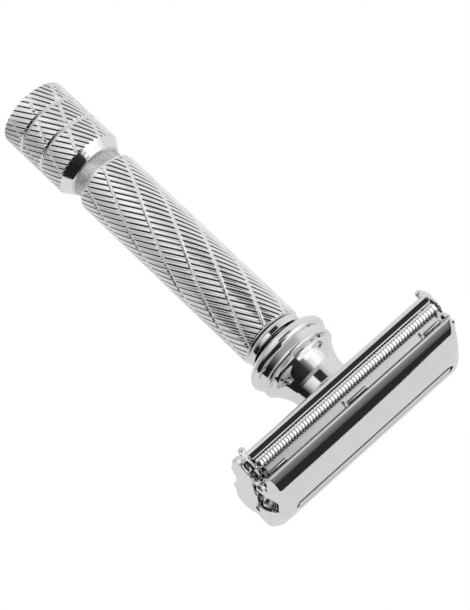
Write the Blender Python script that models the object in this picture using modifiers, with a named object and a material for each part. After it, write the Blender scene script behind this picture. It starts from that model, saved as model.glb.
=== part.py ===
"""Twist-to-open double-edge safety razor, built from its separate pieces.

The razor stands on its knob.  The origin is the centre of the knob's bottom face, +Z runs
up the handle to the head and the head's long side lies along X.  Turning the knob turns the
drive sleeve inside the handle, which lifts the rod, crossbar and end brackets and swings
the two doors open on their hinge pins.

All dimensions below are in millimetres; MM turns them into Blender's metres.
"""
from math import asin, cos, pi, radians, sin, sqrt, tan

import bmesh
import bpy
from mathutils import Matrix, Vector

MM = 0.001
GAP = 0.3             # clearance between pieces that touch on the real object

# Rounds
FINE_STEPS = 36       # outer turned surfaces
BORE_STEPS = 24       # inner turned pieces
PIN_STEPS = 12        # pins, rivets and small holes

# Knob
KNOB_R = 6.95
KNOB_FOOT_ROUND = 0.8
KNOB_TEXTURE_TOP = 15.3
KNOB_CONE_TOP = 17.3
KNOB_CONE_TOP_R = 5.6
KNOB_TOP = 19.7
KNOB_NECK_R = 5.2
KNOB_RINGS = (10.2, 4.9)
RING_DEPTH = 0.35
RING_HALF_WIDTH = 0.4
KNOB_WEB = (2.6, 4.6)         # solid metal between the plug's recess and the sleeve's socket
PLUG_R = 4.6
PLUG_HEIGHT = 0.8
PLUG_CHAMFER = 0.25
SCREW_R = 1.2
SCREW_TIP = 9.0
SCREW_HEAD_R = 3.0
SCREW_HEAD_LOW = 1.1
SCREW_SLOT = (0.6, 0.6)       # width and depth

# Drive sleeve, turned by the knob inside the handle
SLEEVE_R = 3.2
SLEEVE_BORE_R = 2.6
SLEEVE_BORE_LOW = 10.0
SLEEVE_TOP = 28.0
SLEEVE_FLANGE_R = 4.2
SLEEVE_FLANGE = 1.5

# Handle
BARREL_R = 6.2
BARREL_BORE_R = 4.6
BARREL_BOTTOM = KNOB_TOP + GAP
BARREL_TOP = 63.4
BARREL_CHAMFER = 0.3
BARREL_TAPER = 0.8
BUSH_R = BARREL_BORE_R - GAP
RETAINING_BUSH = (20.3, 24.4)
GUIDE_BUSH = (38.0, 44.0)
WASHER_Z = 25.35
WASHER_R = (3.6, 4.2)
WASHER_WIRE = 0.26
WASHER_WAVE = 0.45
NECK_RING_R = 5.85
NECK_RING_TOP = 65.1
COLLAR_BOTTOM = NECK_RING_TOP + GAP
COLLAR_TOP = 79.1
SPIGOT_LOW = 57.0
TENON_R = 3.4
ROD_R = 2.2
ROD_BORE_R = 2.6
ROD_LOW = 11.0

# Guard plate, a stamped trough under the blade
TRAY_HALF_LENGTH = 20.8
TRAY_BOTTOM = COLLAR_TOP + GAP
TRAY_SHEET = 0.9
TRAY_FLOOR = TRAY_BOTTOM + TRAY_SHEET
TRAY_FLAT_HALF = 9.6
LIP_Y = 12.0
LIP_LOW = 80.8
LIP_TOP = 81.8
LIP_ROUND = 0.45
LIP_HEM = (1.2, 0.4)          # the lip's folded-in rim: thickness and depth
DRAIN_X = 12.5
DRAIN_Y = 2.4
DRAIN_SIZE = (10.0, 2.2)
EAR_R = 0.7
EAR_X = 20.75
EAR_Y = 10.7
EAR_Z = 79.0
EAR_WEB_IN = 0.5              # how far the ear's web reaches into the tray
END_WALL = (21.1, 21.5)       # upright wall past the end of each safety bar
TENON_TOP = TRAY_FLOOR + 1.0
COLLAR_NUT_R = 5.4
COLLAR_NUT_TOP = 81.5
NUT_SLOT = (3.4, 0.5, 0.6)    # where it starts, half its width and its depth

# Safety bars, the ribbed rods along the trough's lips
BAR_Y = 11.5
BAR_Z = 82.95
BAR_R = 0.85
BAR_HALF_LENGTH = 20.8
BAR_ROUND = 0.3

# Blade rails
RAIL_HALF_LENGTH = 19.9
RAIL_TOP = 84.9
RAIL_SHEET = 0.75
RAIL_WEB_Y = 6.3
RAIL_FOOT_Y = 3.9
RAIL_EDGE_Y = 9.8
RAIL_SKIRT = (10.4, 83.1)     # lower edge of the rail's sloping skirt
RAIL_SLOT_X = 9.2
RAIL_SLOT_Y = 8.15
RAIL_SLOT = (10.0, 1.2)
REST_R = 0.55
REST_Y = 9.3
REST_Z = RAIL_TOP - 0.15
REST_SPANS = ((-19.9, -16.1), (-2.6, 1.9), (16.1, 19.9))
RIVET_X = 17.6
RIVET_Y = 5.05
RIVET_SHANK_R = 0.6
RIVET_HEAD = (0.7, 1.1, 0.45)   # crown and edge radius, and height

# Carriage
CROSSBAR_HALF_LENGTH = 19.9
CROSSBAR_HALF_WIDTH = 3.0
CROSSBAR_LOW = 81.8
CROSSBAR_HIGH = 84.2
RIB_HALF_LENGTH = 17.9
RIB_HALF_WIDTH = 0.6
RIB_TOP = 89.3
RIB_ROUND = 0.25
BOSS_R = 2.8
BOSS_TOP = 84.9
ROD_TENON_R = 1.1
ROD_TENON_TOP = 84.1
BRACKET_IN = CROSSBAR_HALF_LENGTH + GAP
BRACKET_OUT = 20.9
BLOCK_Y = (2.4, 5.4)
BLOCK_Z = (83.9, 85.6)
BLOCK_OUT = 21.5
CAP_IN = BRACKET_OUT + GAP
CAP_OUT = 22.5
END_RIVET_Z = 82.7
END_RIVET_R = 0.4
END_RIVET_SPAN = (16.5, 21.6)

# Hinge axes
HINGE_Y = 7.4
HINGE_Z = 84.9
HINGE_PIN_R = 0.4
HINGE_PIN_SPAN = (20.3, 22.2)
PIN_CLEARANCE = 0.2
HINGE_EYE_R = 0.95

# Doors
DOOR_HALF_LENGTH = 22.6
DOOR_EDGE_HALF = 21.7
DOOR_CREST_FLAT = 18.6
DOOR_EDGE_FLAT = 20.4
DOOR_EDGE_Y = 10.9
DOOR_EDGE_SLOPE = 42.0        # degrees below level at the cutting edge
DOOR_CREST = 89.5
DOOR_CREST_R = 14.5
DOOR_ARC_Y = 4.5              # the crest's arc ends here
DOOR_FLANK_Y = 7.2            # the straight flank ends here and curls down to the edge
DOOR_SEAM_HALF = 0.15
DOOR_SHEET = 0.6
DOOR_SKIRT_LOW = 84.2
DOOR_SKIRT_HIGH = 85.6
DOOR_SKIRT_RISE = (7.0, 9.4)  # the skirt's lower edge rises between these distances
DOOR_FLAT_SHARE = 0.25         # share of the grid along X that covers the flat middle
DOOR_GRID = (19, 10)
SEAM_SLOT = (37.2, 2.3)        # slot between the closed doors, in which the crossbar's rib shows
DOOR_END_CUT = (20.4, 23.5)    # the end openings are cut between these distances along X
DOOR_OPENING_LOW = 83.0
ARCH_CENTRE = (2.95, 84.93)
ARCH_RADII = (2.8, 3.1)
ARCH_TOP = 88.1
SLANT_FOOT_Y = 2.6             # the slanted opening narrows from this distance to the next
SLANT_TOP = (0.16, 87.9)
LUG_R = 1.45
LUG_SPAN = (21.5, 22.25)


# ---------------------------------------------------------------- scene and materials

def clear_scene():
    for obj in list(bpy.data.objects):
        bpy.data.objects.remove(obj, do_unlink=True)


def new_collection(name):
    group = bpy.data.collections.new(name)
    bpy.context.scene.collection.children.link(group)
    return group


def metal(name, colour, roughness):
    look = bpy.data.materials.new(name)
    look.use_nodes = True
    shader = look.node_tree.nodes["Principled BSDF"]
    shader.inputs["Base Color"].default_value = (*colour, 1.0)
    shader.inputs["Metallic"].default_value = 1.0
    shader.inputs["Roughness"].default_value = roughness
    return look


def put_in(group, obj, look=None):
    for old in list(obj.users_collection):
        old.objects.unlink(obj)
    group.objects.link(obj)
    if look is not None:
        obj.data.materials.clear()
        obj.data.materials.append(look)
    if group is CUTTERS:
        obj.hide_render = True
        obj.display_type = "WIRE"
    return obj


# ---------------------------------------------------------------- shape helpers

def arc(centre, radius, start, end, count):
    """Points on an arc about centre, angles in degrees, first to last."""
    rx, rz = radius if isinstance(radius, tuple) else (radius, radius)
    points = []
    for i in range(count + 1):
        angle = radians(start + (end - start) * i / count)
        points.append((centre[0] + rx * cos(angle), centre[1] + rz * sin(angle)))
    return points


def turned(name, profile, look, steps=BORE_STEPS, closed=True):
    """Turn an (r, z) profile about Z; it runs down its outer side and back up the bore."""
    mesh = bpy.data.meshes.new(name)
    edges = [(i, i + 1) for i in range(len(profile) - 1)]
    if closed:
        edges.append((len(profile) - 1, 0))
    mesh.from_pydata([(r * MM, 0.0, z * MM) for r, z in profile], edges, [])
    obj = bpy.data.objects.new(name, mesh)
    screw = obj.modifiers.new("Turn", "SCREW")
    screw.axis = "Z"
    screw.angle = 2 * pi
    screw.steps = steps
    screw.render_steps = steps
    screw.use_merge_vertices = True
    screw.merge_threshold = 0.000001
    return put_in(PARTS, obj, look)


def ring(name, inner, outer, low, high, look, steps=BORE_STEPS):
    return turned(name, [(outer, high), (outer, low), (inner, low), (inner, high)], look, steps)


def settled_mesh(obj):
    """The object's evaluated mesh as plain data, with coincident points joined."""
    graph = bpy.context.evaluated_depsgraph_get()
    mesh = bpy.data.meshes.new_from_object(obj.evaluated_get(graph))
    bm = bmesh.new()
    bm.from_mesh(mesh)
    bmesh.ops.remove_doubles(bm, verts=bm.verts, dist=0.000001)
    bm.to_mesh(mesh)
    bm.free()
    return mesh


def across(name, outline, x_low, x_high, group, look=None):
    """Extrude a closed (y, z) outline along X from x_low to x_high."""
    curve = bpy.data.curves.new(name, "CURVE")
    curve.dimensions = "2D"
    curve.fill_mode = "BOTH"
    curve.extrude = abs(x_high - x_low) / 2 * MM
    spline = curve.splines.new("POLY")
    spline.points.add(len(outline) - 1)
    for point, (y, z) in zip(spline.points, outline):
        point.co = (y * MM, z * MM, 0.0, 1.0)
    spline.use_cyclic_u = True
    flat = bpy.data.objects.new(name + "_outline", curve)
    flat.matrix_world = (Matrix.Translation(((x_low + x_high) / 2 * MM, 0, 0))
                         @ Matrix.Rotation(pi / 2, 4, "Z") @ Matrix.Rotation(pi / 2, 4, "X"))
    bpy.context.scene.collection.objects.link(flat)
    bpy.context.view_layer.update()
    mesh = settled_mesh(flat)
    obj = bpy.data.objects.new(name, mesh)
    obj.matrix_world = flat.matrix_world.copy()
    bpy.data.objects.remove(flat, do_unlink=True)
    return put_in(group, obj, look)


def rod(name, start, end, radius, group, look=None, steps=PIN_STEPS):
    """A straight cylinder between two points."""
    a = Vector(start) * MM
    b = Vector(end) * MM
    mesh = bpy.data.meshes.new(name)
    bm = bmesh.new()
    bmesh.ops.create_cone(bm, cap_ends=True, segments=steps, radius1=radius * MM,
                          radius2=radius * MM, depth=(b - a).length)
    bm.to_mesh(mesh)
    bm.free()
    obj = bpy.data.objects.new(name, mesh)
    obj.location = (a + b) / 2
    obj.rotation_mode = "QUATERNION"
    obj.rotation_quaternion = (b - a).to_track_quat("Z", "Y")
    return put_in(group, obj, look)


def block(name, corner, opposite, group, look=None):
    """A box between two opposite corners, given in any order."""
    a = Vector([min(pair) for pair in zip(corner, opposite)]) * MM
    b = Vector([max(pair) for pair in zip(corner, opposite)]) * MM
    mesh = bpy.data.meshes.new(name)
    bm = bmesh.new()
    bmesh.ops.create_cube(bm, size=1.0)
    bmesh.ops.scale(bm, vec=b - a, verts=bm.verts)
    bm.to_mesh(mesh)
    bm.free()
    obj = bpy.data.objects.new(name, mesh)
    obj.location = (a + b) / 2
    return put_in(group, obj, look)


def ball(name, centre, radius, group):
    mesh = bpy.data.meshes.new(name)
    bm = bmesh.new()
    bmesh.ops.create_uvsphere(bm, u_segments=12, v_segments=8, radius=radius * MM)
    bm.to_mesh(mesh)
    bm.free()
    obj = bpy.data.objects.new(name, mesh)
    obj.location = Vector(centre) * MM
    return put_in(group, obj)


def combine(obj, tool, operation):
    step = obj.modifiers.new(operation.title(), "BOOLEAN")
    step.operation = operation
    step.solver = "EXACT"
    step.object = tool
    return obj


def cut(obj, tool):
    return combine(obj, tool, "DIFFERENCE")


def join(obj, tool):
    return combine(obj, tool, "UNION")


def stadium(name, centre, size, z_low, z_high):
    """A slot cutter: a box with half-round ends, long along X, cutting down through Z."""
    length, width = size
    half = (length - width) / 2
    x, y = centre
    outline = arc((x + half, y), width / 2, -90, 90, 6) + arc((x - half, y), width / 2, 90, 270, 6)
    mesh = bpy.data.meshes.new(name)
    bm = bmesh.new()
    face = bm.faces.new([bm.verts.new((px * MM, py * MM, z_low * MM)) for px, py in outline])
    swept = bmesh.ops.extrude_face_region(bm, geom=[face])
    moved = [item for item in swept["geom"] if isinstance(item, bmesh.types.BMVert)]
    bmesh.ops.translate(bm, vec=(0, 0, (z_high - z_low) * MM), verts=moved)
    bmesh.ops.recalc_face_normals(bm, faces=bm.faces)
    bm.to_mesh(mesh)
    bm.free()
    return put_in(CUTTERS, bpy.data.objects.new(name, mesh))


def mirrored(half):
    """Close an outline from its half at +Y; only a corner lies on the middle plane itself."""
    other = [(-y, z) for y, z in reversed(half) if y > 0]
    return half + other


def axis_empty(name, location):
    empty = bpy.data.objects.new(name, None)
    empty.empty_display_size = 0.005
    empty.location = Vector(location) * MM
    PARTS.objects.link(empty)
    return empty


def hang_on(empty, pieces):
    """Parent pieces to an empty on their joint's axis without moving them."""
    bpy.context.view_layer.update()
    for piece in pieces:
        piece.parent = empty
        piece.matrix_parent_inverse = empty.matrix_world.inverted()


# ---------------------------------------------------------------- knob

def make_knob(chrome, steel, brass):
    outer = [(KNOB_NECK_R, KNOB_TOP), (KNOB_NECK_R, KNOB_CONE_TOP + 0.2),
             (KNOB_CONE_TOP_R, KNOB_CONE_TOP), (KNOB_R, KNOB_TEXTURE_TOP)]
    for middle in KNOB_RINGS:
        outer += [(KNOB_R, middle + RING_HALF_WIDTH), (KNOB_R - RING_DEPTH, middle),
                  (KNOB_R, middle - RING_HALF_WIDTH)]
    outer += arc((KNOB_R - KNOB_FOOT_ROUND, KNOB_FOOT_ROUND), KNOB_FOOT_ROUND, 0, -90, 4)
    recess, screw_hole, socket = PLUG_R + GAP, SCREW_R + GAP, SLEEVE_R + GAP
    web_low, web_high = KNOB_WEB
    bore = [(recess, 0.0), (recess, web_low), (screw_hole, web_low), (screw_hole, web_high),
            (socket, web_high), (socket, KNOB_TOP)]
    grip = turned("knob_grip", outer + bore, chrome, FINE_STEPS)

    plug = turned("knob_end_plug", [(0, PLUG_HEIGHT), (PLUG_R, PLUG_HEIGHT),
                                    (PLUG_R, PLUG_CHAMFER), (PLUG_R - PLUG_CHAMFER, 0.0),
                                    (0, 0.0)], chrome, closed=False)
    head_top = web_low - GAP
    screw = turned("knob_screw", [(0, SCREW_TIP), (SCREW_R, SCREW_TIP), (SCREW_R, head_top),
                                  (SCREW_HEAD_R, head_top), (SCREW_HEAD_R, SCREW_HEAD_LOW),
                                  (0, SCREW_HEAD_LOW)], steel, PIN_STEPS, closed=False)
    slot_width, slot_depth = SCREW_SLOT
    cut(screw, block("knob_screw_slot",
                     (-SCREW_HEAD_R - 1, -slot_width / 2, SCREW_HEAD_LOW - 0.2),
                     (SCREW_HEAD_R + 1, slot_width / 2, SCREW_HEAD_LOW + slot_depth), CUTTERS))
    sleeve = turned("drive_sleeve", [(SLEEVE_FLANGE_R, SLEEVE_TOP),
                                     (SLEEVE_FLANGE_R, SLEEVE_TOP - SLEEVE_FLANGE),
                                     (SLEEVE_R, SLEEVE_TOP - SLEEVE_FLANGE),
                                     (SLEEVE_R, web_high + GAP), (screw_hole, web_high + GAP),
                                     (screw_hole, SLEEVE_BORE_LOW),
                                     (SLEEVE_BORE_R, SLEEVE_BORE_LOW),
                                     (SLEEVE_BORE_R, SLEEVE_TOP)], brass)
    hang_on(axis_empty("knob_axis", (0, 0, 0)), [grip, plug, screw, sleeve])


# ---------------------------------------------------------------- handle

def make_wave_washer(steel):
    """Spring washer with three waves; it keeps the knob's flange seated."""
    half = WASHER_WIRE / 2
    flat = ring("wave_washer", *WASHER_R, WASHER_Z - half, WASHER_Z + half, steel, FINE_STEPS)
    mesh = settled_mesh(flat)
    for vertex in mesh.vertices:
        turn = Vector((vertex.co.x, vertex.co.y)).angle_signed(Vector((1, 0)))
        vertex.co.z += WASHER_WAVE * MM * sin(3 * turn)
    bpy.data.objects.remove(flat, do_unlink=True)
    put_in(PARTS, bpy.data.objects.new("wave_washer", mesh), steel)


def collar_profile():
    """Threaded spigot, beaded flange and trumpet, with a tenon that carries the head."""
    trumpet = [(5.7, COLLAR_TOP), (5.5, 78.2), (5.33, 77.2), (5.28, 76.1), (5.37, 75.1),
               (5.6, 74.1), (5.93, 73.1), (6.35, 72.2), (6.8, 71.5), (6.9, 71.0)]
    small_bead = arc((7.15, 70.2), 0.6, 75, -45, 4)
    large_bead = arc((7.0, 67.6), 1.35, 55, -75, 6)
    foot = [(6.1, COLLAR_BOTTOM + 0.2), (5.6, COLLAR_BOTTOM)]
    spigot = [(BUSH_R, COLLAR_BOTTOM), (BUSH_R, SPIGOT_LOW), (ROD_BORE_R, SPIGOT_LOW),
              (ROD_BORE_R, TENON_TOP)]
    return ([(TENON_R, TENON_TOP), (TENON_R, COLLAR_TOP)] + trumpet + small_bead + large_bead
            + foot + spigot)


def make_handle(chrome, brass, steel):
    end_r = BARREL_R - BARREL_CHAMFER
    turned("handle_barrel", [(end_r, BARREL_TOP), (BARREL_R, BARREL_TOP - BARREL_CHAMFER),
                             (BARREL_R, BARREL_BOTTOM + BARREL_TAPER), (end_r, BARREL_BOTTOM),
                             (BARREL_BORE_R, BARREL_BOTTOM), (BARREL_BORE_R, BARREL_TOP)],
           chrome, FINE_STEPS)
    ring("neck_ring", BARREL_BORE_R, NECK_RING_R, BARREL_TOP + GAP, NECK_RING_TOP, chrome,
         FINE_STEPS)
    turned("neck_collar", collar_profile(), chrome, FINE_STEPS)
    ring("guide_bush", ROD_BORE_R, BUSH_R, *GUIDE_BUSH, brass)
    ring("retaining_bush", SLEEVE_R + GAP, BUSH_R, *RETAINING_BUSH, brass)
    make_wave_washer(steel)
    nut = ring("collar_nut", TENON_R + GAP, COLLAR_NUT_R, TRAY_FLOOR + GAP, COLLAR_NUT_TOP, brass)
    start, half_width, depth = NUT_SLOT
    for side in (-1, 1):
        cut(nut, block(f"nut_slot_{side}", (side * start, -half_width, COLLAR_NUT_TOP - depth),
                       (side * (COLLAR_NUT_R + 1), half_width, COLLAR_NUT_TOP + 1), CUTTERS))


# ---------------------------------------------------------------- guard plate

def tray_outline():
    """Section of the trough: flat floor, curved flanks and rounded upright lips."""
    flank = (TRAY_FLAT_HALF, LIP_LOW)
    outer = arc(flank, (LIP_Y - TRAY_FLAT_HALF, LIP_LOW - TRAY_BOTTOM), -90, 0, 8)
    outer += arc((LIP_Y - LIP_ROUND, LIP_TOP - LIP_ROUND), LIP_ROUND, 0, 90, 4)
    hem_y, hem_low = LIP_Y - LIP_HEM[0], LIP_TOP - LIP_HEM[1]
    inner = [(hem_y, LIP_TOP), (hem_y, hem_low)]
    inner += arc(flank, (LIP_Y - TRAY_SHEET - TRAY_FLAT_HALF, LIP_LOW - TRAY_FLOOR), 0, -90, 8)
    return mirrored(outer + inner)


def ear_outline(side):
    """Corner web that rises from the ball-tipped ear to the trough's lip."""
    half = [(9.85, 79.6), (10.2, 78.7), (11.1, 78.7), (11.7, 80.6), (11.7, 81.45), (10.9, 81.7),
            (9.85, 81.6)]
    return [(side * y, z) for y, z in half]


def end_wall_outline(side):
    """Upright wall that shields the end of the safety bar."""
    half = [(9.9, 80.4), (11.6, 80.4), (11.9, 81.0)]
    half += arc((BAR_Y, BAR_Z), 0.45, -10, 60, 4)
    half += [(10.6, 84.15), (10.1, 84.15), (9.9, 83.6)]
    return [(side * y, z) for y, z in half]


def make_guard(chrome):
    guard = across("guard_plate", tray_outline(), -TRAY_HALF_LENGTH, TRAY_HALF_LENGTH, PARTS,
                   chrome)
    for end in (-1, 1):
        for side in (-1, 1):
            tag = f"{end}_{side}"
            inner, wall_in, wall_out = TRAY_HALF_LENGTH - EAR_WEB_IN, *END_WALL
            x_low, x_high = sorted((end * inner, end * (wall_out - 0.1)))
            join(guard, across("ear_web_" + tag, ear_outline(side), x_low, x_high, CUTTERS))
            x_low, x_high = sorted((end * wall_in, end * wall_out))
            join(guard, across("end_wall_" + tag, end_wall_outline(side), x_low, x_high, CUTTERS))
            join(guard, ball("ear_ball_" + tag, (end * EAR_X, side * EAR_Y, EAR_Z), EAR_R, CUTTERS))
            cut(guard, stadium("drain_" + tag, (end * DRAIN_X, side * DRAIN_Y), DRAIN_SIZE,
                               TRAY_BOTTOM - 1, TRAY_FLOOR + 1))
            cut(guard, rod("rivet_hole_" + tag, (end * RIVET_X, side * RIVET_Y, TRAY_BOTTOM - 1),
                           (end * RIVET_X, side * RIVET_Y, TRAY_FLOOR + 1), RIVET_SHANK_R + GAP,
                           CUTTERS))
    cut(guard, rod("collar_hole", (0, 0, TRAY_BOTTOM - 1), (0, 0, TRAY_FLOOR + 1),
                   TENON_R + GAP, CUTTERS, steps=BORE_STEPS))


def make_safety_bar(name, side, chrome):
    """A round rod with softened ends, brazed along the trough's lip."""
    straight = BAR_HALF_LENGTH - BAR_ROUND
    profile = arc((0, straight), (BAR_R, BAR_ROUND), 90, 0, 3)
    profile += arc((0, -straight), (BAR_R, BAR_ROUND), 0, -90, 3)
    bar = turned(name, profile, chrome, 24, closed=False)
    bar.rotation_euler = (0, pi / 2, 0)
    bar.location = (0, side * BAR_Y * MM, BAR_Z * MM)


def make_blade_rail(name, side, chrome):
    """Folded rail with a sloping skirt and three round rests that carry the blade's edge."""
    web_out = RAIL_WEB_Y + RAIL_SHEET
    foot = TRAY_FLOOR + GAP
    skirt_y, skirt_z = RAIL_SKIRT
    half = [(RAIL_FOOT_Y, foot), (web_out, foot), (web_out, RAIL_TOP - RAIL_SHEET),
            (RAIL_EDGE_Y - 0.4, RAIL_TOP - RAIL_SHEET), (skirt_y - 0.5, skirt_z - 0.3),
            (skirt_y, skirt_z), (RAIL_EDGE_Y, RAIL_TOP), (RAIL_WEB_Y, RAIL_TOP),
            (RAIL_WEB_Y, foot + RAIL_SHEET), (RAIL_FOOT_Y, foot + RAIL_SHEET)]
    rail = across(name, [(side * y, z) for y, z in half], -RAIL_HALF_LENGTH, RAIL_HALF_LENGTH,
                  PARTS, chrome)
    cut(rail, rod(name + "_nut_relief", (0, 0, TRAY_FLOOR), (0, 0, CROSSBAR_LOW),
                  COLLAR_NUT_R + 0.4, CUTTERS, steps=BORE_STEPS))
    for i, (x_low, x_high) in enumerate(REST_SPANS):
        join(rail, rod(f"{name}_rest_{i}", (x_low, side * REST_Y, REST_Z),
                       (x_high, side * REST_Y, REST_Z), REST_R, CUTTERS))
    for end in (-1, 1):
        cut(rail, stadium(f"{name}_slot_{end}", (end * RAIL_SLOT_X, side * RAIL_SLOT_Y), RAIL_SLOT,
                          RAIL_TOP - 2, RAIL_TOP + 1))
        cut(rail, rod(f"{name}_hole_{end}", (end * RIVET_X, side * RIVET_Y, foot - 1),
                      (end * RIVET_X, side * RIVET_Y, foot + 2), RIVET_SHANK_R + GAP, CUTTERS))


def make_rail_rivets(steel):
    """Rivets through the rails' feet and the trough's floor."""
    crown, edge, head = RIVET_HEAD
    shank = RIVET_SHANK_R
    high = TRAY_FLOOR + GAP + RAIL_SHEET + GAP
    low = TRAY_BOTTOM - GAP
    profile = [(0, high + head), (crown, high + head), (edge, high), (shank, high), (shank, low),
               (edge, low), (crown, low - head), (0, low - head)]
    for side_word, side in (("front", -1), ("rear", 1)):
        for end_word, end in (("left", -1), ("right", 1)):
            rivet = turned(f"rail_rivet_{side_word}_{end_word}", profile, steel, PIN_STEPS,
                           closed=False)
            rivet.location = (end * RIVET_X * MM, side * RIVET_Y * MM, 0)


# ---------------------------------------------------------------- carriage

def make_lift_rod(brass):
    shoulder, chamfer = CROSSBAR_LOW - GAP, 0.4
    return turned("lift_rod", [(0, ROD_TENON_TOP), (ROD_TENON_R, ROD_TENON_TOP),
                               (ROD_TENON_R, shoulder), (ROD_R, shoulder),
                               (ROD_R, ROD_LOW + chamfer), (ROD_R - chamfer, ROD_LOW),
                               (0, ROD_LOW)], brass, closed=False)


def make_crossbar(chrome):
    """Bar under the blade, with the rib that goes through the blade's long slot."""
    bar = block("crossbar", (-CROSSBAR_HALF_LENGTH, -CROSSBAR_HALF_WIDTH, CROSSBAR_LOW),
                (CROSSBAR_HALF_LENGTH, CROSSBAR_HALF_WIDTH, CROSSBAR_HIGH), PARTS, chrome)
    rib = block("crossbar_rib", (-RIB_HALF_LENGTH, -RIB_HALF_WIDTH, CROSSBAR_HIGH - 0.5),
                (RIB_HALF_LENGTH, RIB_HALF_WIDTH, RIB_TOP), CUTTERS)
    soften(rib, RIB_ROUND, 2)
    join(bar, rib)
    join(bar, rod("crossbar_boss", (0, 0, CROSSBAR_LOW + 0.2), (0, 0, BOSS_TOP), BOSS_R, CUTTERS,
                  steps=BORE_STEPS))
    cut(bar, rod("crossbar_tenon_hole", (0, 0, CROSSBAR_LOW - 1), (0, 0, ROD_TENON_TOP + GAP),
                 ROD_TENON_R + GAP, CUTTERS))
    for end in (-1, 1):
        cut(bar, rod(f"crossbar_end_hole_{end}", (end * (END_RIVET_SPAN[0] - GAP), 0, END_RIVET_Z),
                     (end * END_RIVET_SPAN[1], 0, END_RIVET_Z), END_RIVET_R + GAP, CUTTERS))
    return bar


def soften(obj, width, segments):
    edge = obj.modifiers.new("Soft edges", "BEVEL")
    edge.width = width * MM
    edge.segments = segments
    edge.limit_method = "ANGLE"
    edge.angle_limit = radians(40)


def bracket_outline():
    """Hub on the crossbar's end with two arms that hold the hinge pins."""
    half = [(CROSSBAR_HALF_WIDTH, CROSSBAR_LOW), (3.6, 82.5), (6.2, 83.9)]
    half += arc((HINGE_Y, HINGE_Z), HINGE_EYE_R, -50, 90, 6)
    half += [(3.2, HINGE_Z + HINGE_EYE_R), (2.4, 86.7)]
    return mirrored(half)


def cap_outline():
    """Scalloped plate that closes the trough's end: two lobes and a middle notch."""
    half = [(0, 78.4)]
    half += arc((3.9, 80.6), 3.1, -135, -60, 5)
    half += arc((7.2, 80.3), (2.3, 2.4), -75, 5, 6)
    half += [(9.1, 81.2), (8.7, 82.0), (7.8, 82.7), (2.4, 83.1), (1.8, 83.8)]
    return mirrored(half)


def make_end(tag, end, chrome, steel):
    """Bracket, scalloped cap and rivet at one end of the crossbar."""
    def span(a, b):
        return sorted((end * a, end * b))

    bracket = across("hinge_bracket_" + tag, bracket_outline(), *span(BRACKET_IN, BRACKET_OUT),
                     PARTS, chrome)
    for side in (-1, 1):
        join(bracket, block(f"bracket_block_{tag}_{side}",
                            (end * (BRACKET_IN + 0.1), side * BLOCK_Y[0], BLOCK_Z[0]),
                            (end * BLOCK_OUT, side * BLOCK_Y[1], BLOCK_Z[1]), CUTTERS))
        cut(bracket, rod(f"bracket_pin_hole_{tag}_{side}",
                         (end * (BRACKET_IN - GAP), side * HINGE_Y, HINGE_Z),
                         (end * (BRACKET_OUT + GAP), side * HINGE_Y, HINGE_Z),
                         HINGE_PIN_R + PIN_CLEARANCE, CUTTERS))
    hole = rod("bracket_rivet_hole_" + tag, (end * (BRACKET_IN - GAP), 0, END_RIVET_Z),
               (end * (END_RIVET_SPAN[1] + GAP), 0, END_RIVET_Z), END_RIVET_R + GAP, CUTTERS)
    cut(bracket, hole)
    cap = across("end_cap_" + tag, cap_outline(), *span(CAP_IN, CAP_OUT), PARTS, chrome)
    cut(cap, hole)
    inner, outer = END_RIVET_SPAN
    rivet = rod("end_rivet_" + tag, (end * inner, 0, END_RIVET_Z), (end * outer, 0, END_RIVET_Z),
                END_RIVET_R, PARTS, steel)
    pins = []
    inner, outer = HINGE_PIN_SPAN
    for word, side in (("front", -1), ("rear", 1)):
        pins.append(rod(f"hinge_pin_{word}_{tag}", (end * inner, side * HINGE_Y, HINGE_Z),
                        (end * outer, side * HINGE_Y, HINGE_Z), HINGE_PIN_R, PARTS, steel))
    return [bracket, cap, rivet] + pins


# ---------------------------------------------------------------- doors

def door_top(y):
    """Height of the outer surface at distance y from the seam.

    The section is an arc over the crest, a straight flank and a tighter arc down to the edge.
    """
    if y <= DOOR_ARC_Y:
        return DOOR_CREST - DOOR_CREST_R + sqrt(DOOR_CREST_R ** 2 - y ** 2)
    slope, edge_slope = asin(DOOR_ARC_Y / DOOR_CREST_R), radians(DOOR_EDGE_SLOPE)
    height = door_top(DOOR_ARC_Y) - tan(slope) * (min(y, DOOR_FLANK_Y) - DOOR_ARC_Y)
    if y > DOOR_FLANK_Y:
        curl_r = (DOOR_EDGE_Y - DOOR_FLANK_Y) / (sin(edge_slope) - sin(slope))
        turn = asin(sin(slope) + (y - DOOR_FLANK_Y) / curl_r)
        height -= curl_r * (cos(slope) - cos(turn))
    return height


def eased(start, end, t):
    """Smooth step from start to end as t goes from 0 to 1."""
    t = min(max(t, 0.0), 1.0)
    return start + (end - start) * t * t * (3 - 2 * t)


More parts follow.
